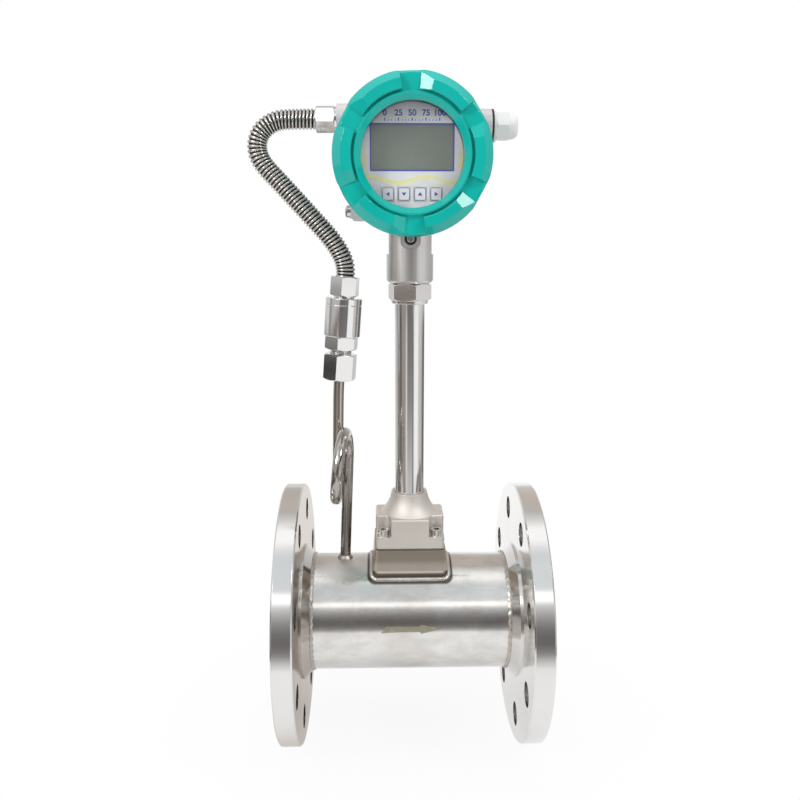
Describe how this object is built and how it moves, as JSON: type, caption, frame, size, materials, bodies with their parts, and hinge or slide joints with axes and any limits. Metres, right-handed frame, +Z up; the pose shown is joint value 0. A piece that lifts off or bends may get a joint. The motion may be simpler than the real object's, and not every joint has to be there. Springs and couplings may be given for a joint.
{
  "type": "vortex flow meter",
  "caption": "Flanged in-line vortex flow meter with a tall stem, a round screw-covered display head, a pigtail siphon and a pressure sensor on a flexible hose.",
  "frame": {"origin": "centre of the inlet flange's sealing face, on the pipe's axis", "axes": "+X along the pipe in the direction of flow, +Z up the stem, the display faces -Y"},
  "size_m": [0.2153, 0.2, 0.4957],
  "materials": {
    "pipe_steel": "satin stainless steel",
    "flange_steel": "turned stainless steel",
    "bar_steel": "satin stainless steel",
    "seat_steel": "milled stainless steel",
    "weld_steel": "weld bead with heat tint",
    "cast_steel": "bead-blasted investment casting",
    "screw_steel": "stainless screws",
    "polished_steel": "bright drawn stainless tube",
    "nut_steel": "bright machined stainless",
    "siphon_steel": "bright bent stainless tube",
    "hose_metal": "coated corrugated metal hose",
    "gasket_grey": "matt",
    "o_ring_black": "matt",
    "housing_paint": "light silver-grey paint on a die casting",
    "cover_teal": "teal powder coat on a die casting",
    "window_glass": "clear",
    "retainer_alu": "dark anodised",
    "white_nylon": "satin nylon",
    "gland_rubber": "matt",
    "plate_grey": "satin plastic",
    "film_print": "printed polyester film",
    "lcd_grey": "reflective display",
    "key_cap": "satin key tops",
    "silicone": "matt",
    "board_green": "solder mask",
    "module_black": "matt",
    "terminal_green": "satin",
    "brass_plain": "bright",
    "zinc_screw": "bright zinc"
  },
  "bodies": {
    "meter": {"meter_tube": "pipe_steel", "inlet_flange": "flange_steel", "outlet_flange": "flange_steel", "shedder_bar": "bar_steel", "sensor_seat": "seat_steel", "seat_weld": "weld_steel", "seat_gasket": "gasket_grey", "vortex_probe": "bar_steel", "probe_seal": "retainer_alu", "stem_base": "cast_steel", "stem_base_screws": "screw_steel", "stem_tube": "polished_steel", "stem_hex": "nut_steel", "neck_adapter": "nut_steel", "lock_screw": "screw_steel", "lock_screw_seal": "o_ring_black", "siphon_tube": "siphon_steel", "siphon_weld": "weld_steel", "siphon_union_nut": "nut_steel", "siphon_ferrule": "screw_steel", "union_washer": "brass_plain", "pressure_port": "nut_steel", "sensor_barrel": "nut_steel", "hose_bottom_nut": "nut_steel", "flex_hose": "hose_metal"},
    "head": {"transmitter_housing": "housing_paint", "earth_screw": "zinc_screw", "earth_washer": "zinc_screw", "hose_top_nut": "nut_steel", "gland_washer": "gland_rubber", "gland_body": "white_nylon", "gland_nut": "white_nylon", "gland_seal": "gland_rubber", "face_plate": "plate_grey", "face_film": "film_print", "lcd_module": "lcd_grey", "key_pad": "silicone", "display_board": "board_green", "display_spacers": "white_nylon", "board_standoffs": "brass_plain", "display_screws": "zinc_screw", "electronics_module": "module_black", "terminal_board": "board_green", "terminal_board_screws": "zinc_screw", "terminal_block": "terminal_green", "terminal_screws": "brass_plain"},
    "front_seal": {"front_o_ring": "o_ring_black"},
    "front_cover": {"front_cover": "cover_teal", "cover_window": "window_glass", "window_gasket": "gland_rubber", "window_ring": "retainer_alu"},
    "rear_seal": {"rear_o_ring": "o_ring_black"},
    "rear_cover": {"rear_cover": "cover_teal"},
    "key_left": {"key_left": "key_cap"},
    "key_down": {"key_down": "key_cap"},
    "key_up": {"key_up": "key_cap"},
    "key_right": {"key_right": "key_cap"}
  },
  "joints": [
    {"name": "head_swivel", "type": "hinge", "parent": "meter", "child": "head", "pos_m": [0.1, 0, 0.2892], "axis": [0, 0, 1], "range_deg": [-30, 30], "deforming": ["flex_hose"]},
    {"name": "front_cover_slide", "type": "slide", "parent": "head", "child": "front_seal", "axis": [0, -1, 0], "range_m": [0, 0.01]},
    {"name": "front_cover_turn", "type": "hinge", "parent": "front_seal", "child": "front_cover", "pos_m": [0.1, -0.04, 0.3433], "axis": [0, -1, 0], "range_deg": [0, 1800]},
    {"name": "rear_cover_slide", "type": "slide", "parent": "head", "child": "rear_seal", "axis": [0, 1, 0], "range_m": [0, 0.01]},
    {"name": "rear_cover_turn", "type": "hinge", "parent": "rear_seal", "child": "rear_cover", "pos_m": [0.1, 0.04, 0.3433], "axis": [0, 1, 0], "range_deg": [0, 1800]},
    {"name": "key_left_press", "type": "slide", "parent": "head", "child": "key_left", "axis": [0, 1, 0], "range_m": [0, 0.0004], "stiffness_N_per_m": 1000, "springref_m": -0.0002},
    {"name": "key_down_press", "type": "slide", "parent": "head", "child": "key_down", "axis": [0, 1, 0], "range_m": [0, 0.0004], "stiffness_N_per_m": 1000, "springref_m": -0.0002},
    {"name": "key_up_press", "type": "slide", "parent": "head", "child": "key_up", "axis": [0, 1, 0], "range_m": [0, 0.0004], "stiffness_N_per_m": 1000, "springref_m": -0.0002},
    {"name": "key_right_press", "type": "slide", "parent": "head", "child": "key_right", "axis": [0, 1, 0], "range_m": [0, 0.0004], "stiffness_N_per_m": 1000, "springref_m": -0.0002}
  ],
  "couplings": [
    {"joint": "front_cover_slide", "follows": "front_cover_turn", "m_per_rad": 0.000318},
    {"joint": "rear_cover_slide", "follows": "rear_cover_turn", "m_per_rad": 0.000318}
  ]
}
